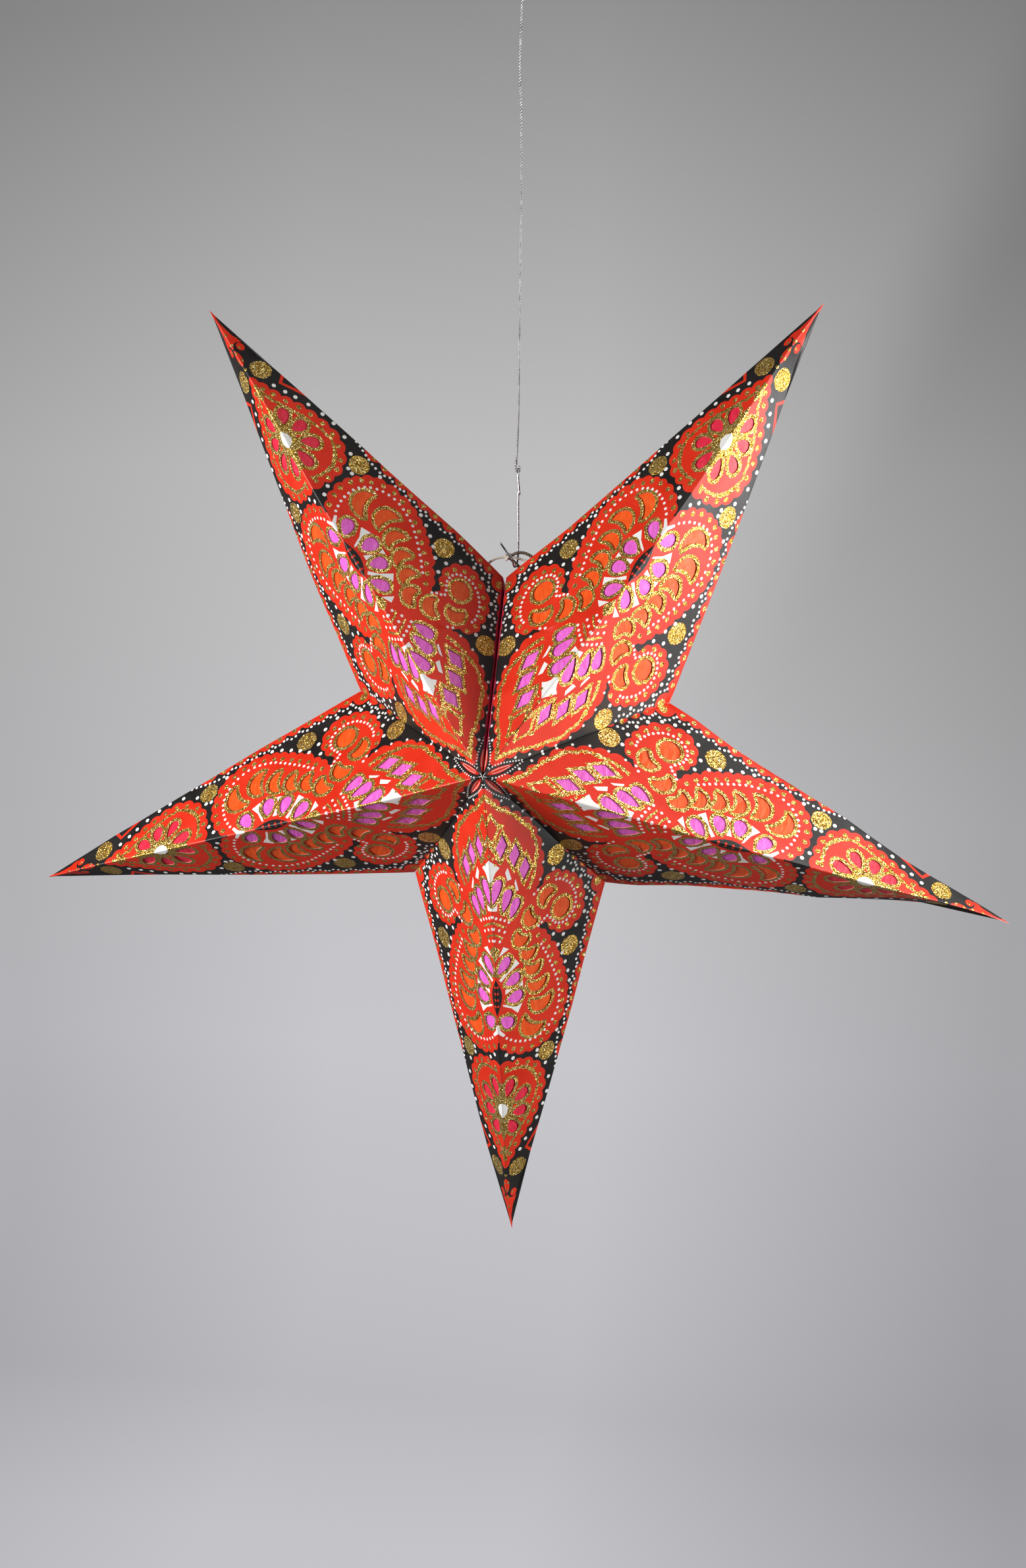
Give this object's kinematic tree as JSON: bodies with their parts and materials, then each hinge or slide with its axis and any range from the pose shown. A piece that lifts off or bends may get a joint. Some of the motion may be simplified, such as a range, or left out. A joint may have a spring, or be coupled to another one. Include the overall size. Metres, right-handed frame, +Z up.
{
  "type": "paper star",
  "caption": "Hollow folded star lantern of printed card with cut-out windows lined in coloured tissue, tied at one seam and hung by a wire hook on a twisted line.",
  "frame": {"origin": "top inside of the loop at the upper end of the hanging line, where a nail or hook carries the star", "axes": "+Z up, the printed front faces -Y, the star's five arms lie in the XZ plane"},
  "size_m": [0.5992, 0.184, 0.7603],
  "materials": {
    "card": "printed, semi-gloss",
    "crimson_tissue": "matt tissue",
    "pink_tissue": "matt tissue",
    "orange_tissue": "matt tissue",
    "string": "matt cotton",
    "wire": "drawn wire",
    "line": "twisted"
  },
  "bodies": {
    "root": {"arm_1": "card", "arm_2": "card", "arm_3": "card", "arm_4": "card", "arm_5": "card", "tip_lining_1": "crimson_tissue", "tip_lining_2": "crimson_tissue", "tip_lining_3": "crimson_tissue", "tip_lining_4": "crimson_tissue", "tip_lining_5": "crimson_tissue", "front_lining_1": "pink_tissue", "front_lining_2": "pink_tissue", "front_lining_3": "pink_tissue", "front_lining_4": "pink_tissue", "front_lining_5": "pink_tissue", "back_lining_1": "pink_tissue", "back_lining_2": "pink_tissue", "back_lining_3": "pink_tissue", "back_lining_4": "pink_tissue", "back_lining_5": "pink_tissue", "left_lining_1": "orange_tissue", "left_lining_2": "orange_tissue", "left_lining_3": "orange_tissue", "left_lining_4": "orange_tissue", "left_lining_5": "orange_tissue", "right_lining_1": "orange_tissue", "right_lining_2": "orange_tissue", "right_lining_3": "orange_tissue", "right_lining_4": "orange_tissue", "right_lining_5": "orange_tissue", "tie_string": "string", "hook": "wire", "line": "line"}
  },
  "joints": []
}
